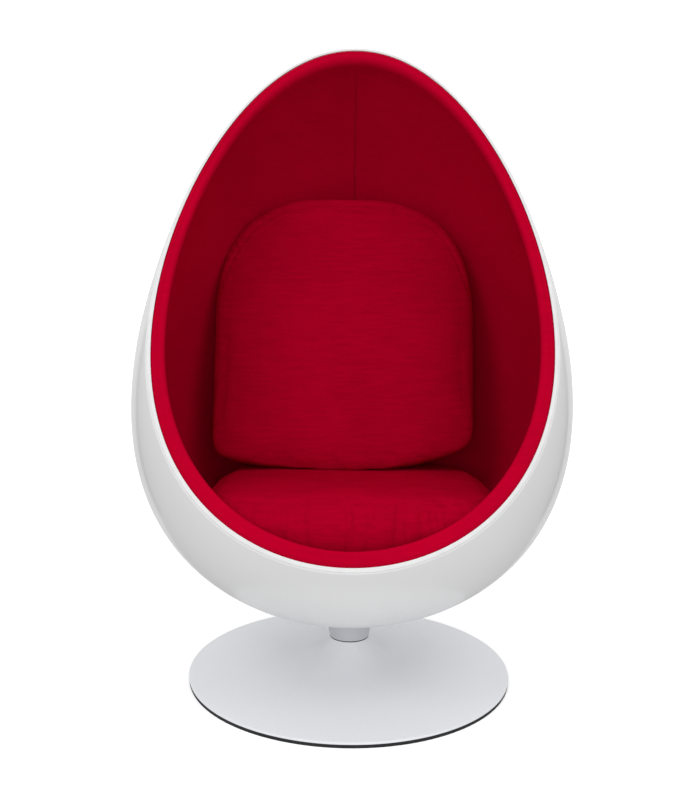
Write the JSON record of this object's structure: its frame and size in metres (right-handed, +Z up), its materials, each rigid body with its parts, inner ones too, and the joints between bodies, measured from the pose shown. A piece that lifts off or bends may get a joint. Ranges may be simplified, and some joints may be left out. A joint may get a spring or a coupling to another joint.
{
  "type": "swivel pod chair",
  "caption": "Egg-shaped lounge pod with a padded lining, rim roll and loose seat and back cushions, turning on a column that stands on a flared disc base.",
  "frame": {"origin": "on the floor, on the swivel axis, at the middle of the base's rubber underside", "axes": "+Z up along the swivel axis; -Y out of the opening towards the sitter's feet; +X to the right as seen from the front"},
  "size_m": [0.88, 0.8355, 1.2681],
  "materials": {
    "shell_gloss": "white gloss gelcoat over glass fibre",
    "silver_paint": "silver-grey satin powder coat",
    "plate_steel": "plain grey primer",
    "bright_steel": "zinc plated or ground steel",
    "cage_brass": "plain",
    "bush_nylon": "natural nylon",
    "black_rubber": "matt black",
    "trim_white": "soft white vinyl bead",
    "foam": "cut polyurethane foam",
    "liner_fabric": "deep red stretch wool, glued to the foam",
    "rim_fabric": "red stretch wool over the roll",
    "cushion_fabric": "red stretch wool cover",
    "zip_tape": "dark red zip tape"
  },
  "bodies": {
    "base": {"base_cover": "silver_paint", "base_plate": "plate_steel", "floor_gasket": "black_rubber", "column": "plate_steel", "column_bolts": "bright_steel", "spindle": "bright_steel", "lower_race": "bright_steel", "neck_washer": "black_rubber", "top_washer": "bush_nylon", "spindle_nut": "bright_steel"},
    "ball_cage": {"bearing_cage": "cage_brass", "bearing_balls": "bright_steel"},
    "pod": {"upper_race": "bright_steel", "swivel_hub": "plate_steel", "lower_bush": "bush_nylon", "upper_bush": "bush_nylon", "collar": "silver_paint", "shell": "shell_gloss", "anchor_plate": "plate_steel", "anchor_bolts": "bright_steel", "anchor_washers": "bright_steel", "anchor_nuts": "bright_steel", "rim_bead": "trim_white", "foam_lining": "foam", "seat_base": "foam", "liner_left": "liner_fabric", "liner_right": "liner_fabric", "seat_deck": "liner_fabric", "rim_foam": "foam", "rim_band": "rim_fabric", "seat_cushion_core": "foam", "seat_cushion_cover": "cushion_fabric", "seat_cushion_zip": "zip_tape", "back_cushion_core": "foam", "back_cushion_cover": "cushion_fabric", "back_cushion_zip": "zip_tape"}
  },
  "joints": [
    {"name": "pod_swivel", "type": "hinge", "parent": "base", "child": "pod", "pos_m": [0, 0, 0.09], "axis": [0, 0, 1], "continuous": true},
    {"name": "cage_roll", "type": "hinge", "parent": "base", "child": "ball_cage", "pos_m": [0, 0, 0.082], "axis": [0, 0, 1], "continuous": true}
  ],
  "couplings": [
    {"joint": "cage_roll", "follows": "pod_swivel", "ratio": 0.5}
  ]
}
